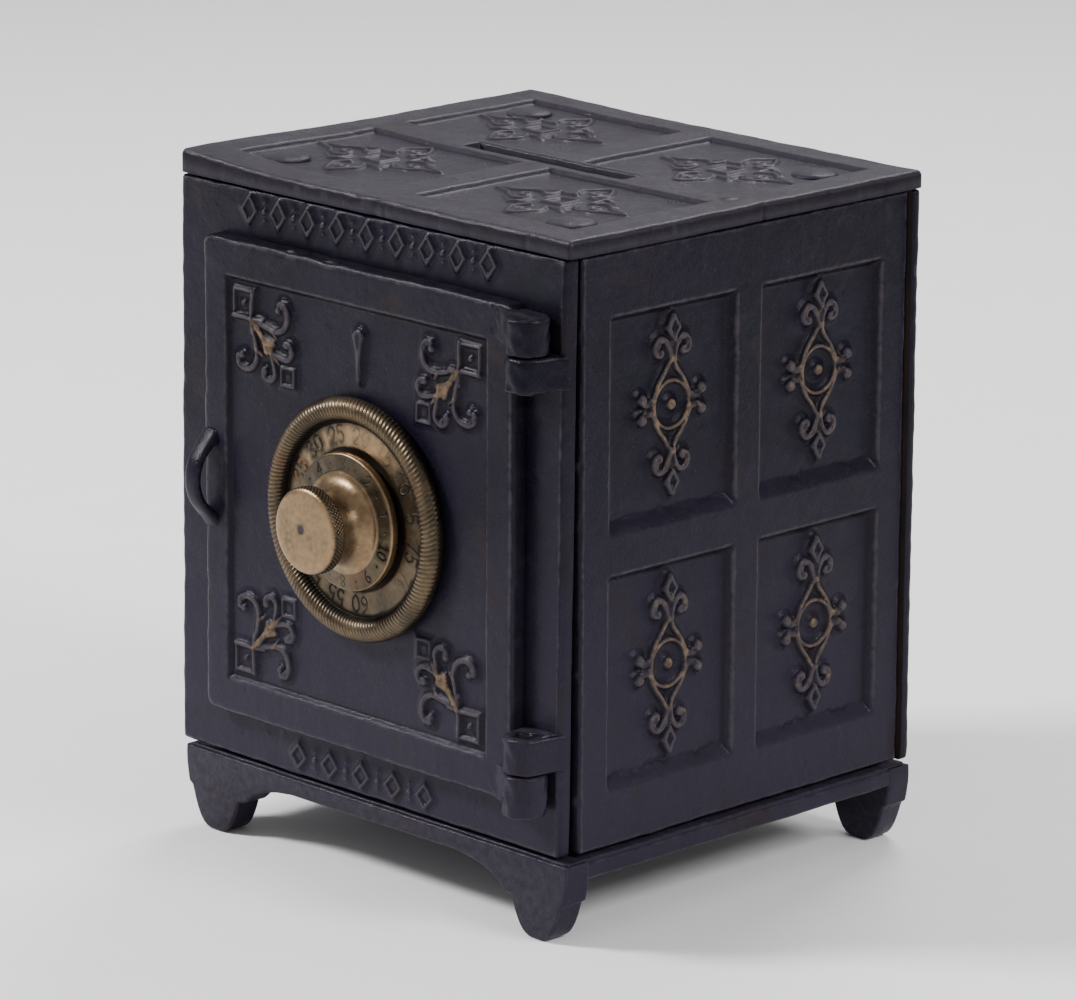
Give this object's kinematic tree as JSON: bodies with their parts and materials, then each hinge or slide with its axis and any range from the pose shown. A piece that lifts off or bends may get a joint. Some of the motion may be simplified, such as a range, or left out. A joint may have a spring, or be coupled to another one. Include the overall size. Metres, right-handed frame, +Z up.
{
  "type": "cast iron still bank",
  "caption": "Footed cast iron coin bank shaped like a safe, with a slotted top, a hinged door that swings open and concentric brass dials that turn to unlock it.",
  "frame": {"origin": "middle of the overall width and depth, on the plane the feet stand on", "axes": "+Z up, -Y out of the door, +X towards the hinges"},
  "size_m": [0.1204, 0.1258, 0.152],
  "materials": {
    "japanned_iron": "worn black japan with traces of gold on the relief",
    "japanned_rod_heads": "black japanned heads, bare dark shanks",
    "aged_brass": "aged, dark in the hollows",
    "dark_steel": "dull, slightly rusty"
  },
  "bodies": {
    "case": {"base": "japanned_iron", "front_frame": "japanned_iron", "left_side": "japanned_iron", "right_side": "japanned_iron", "back_plate": "japanned_iron", "top_plate": "japanned_iron", "tie_rod_front_left": "japanned_rod_heads", "tie_rod_front_right": "japanned_rod_heads", "tie_rod_rear_left": "japanned_rod_heads", "tie_rod_rear_right": "japanned_rod_heads", "rod_nut_front_left": "dark_steel", "rod_nut_front_right": "dark_steel", "rod_nut_rear_left": "dark_steel", "rod_nut_rear_right": "dark_steel", "hinge_pin_upper": "dark_steel", "hinge_pin_lower": "dark_steel"},
    "door": {"door": "japanned_iron"},
    "outer_dial": {"outer_dial": "aged_brass", "outer_spindle_tube": "dark_steel", "tumbler_spacer": "dark_steel", "outer_tumbler": "dark_steel"},
    "inner_dial": {"dial_knob": "aged_brass", "knob_spindle": "dark_steel", "inner_washer": "dark_steel", "inner_tumbler": "dark_steel", "spindle_nut": "dark_steel"}
  },
  "joints": [
    {"name": "door_swing", "type": "hinge", "parent": "case", "child": "door", "pos_m": [0.0524, -0.04852, 0.082], "axis": [0, 0, 1], "range_deg": [0, 170]},
    {"name": "outer_dial_turn", "type": "hinge", "parent": "door", "child": "outer_dial", "pos_m": [0, -0.04893, 0.0825], "axis": [0, 1, 0], "continuous": true},
    {"name": "inner_dial_turn", "type": "hinge", "parent": "door", "child": "inner_dial", "pos_m": [0, -0.05292, 0.0825], "axis": [0, 1, 0], "continuous": true}
  ]
}
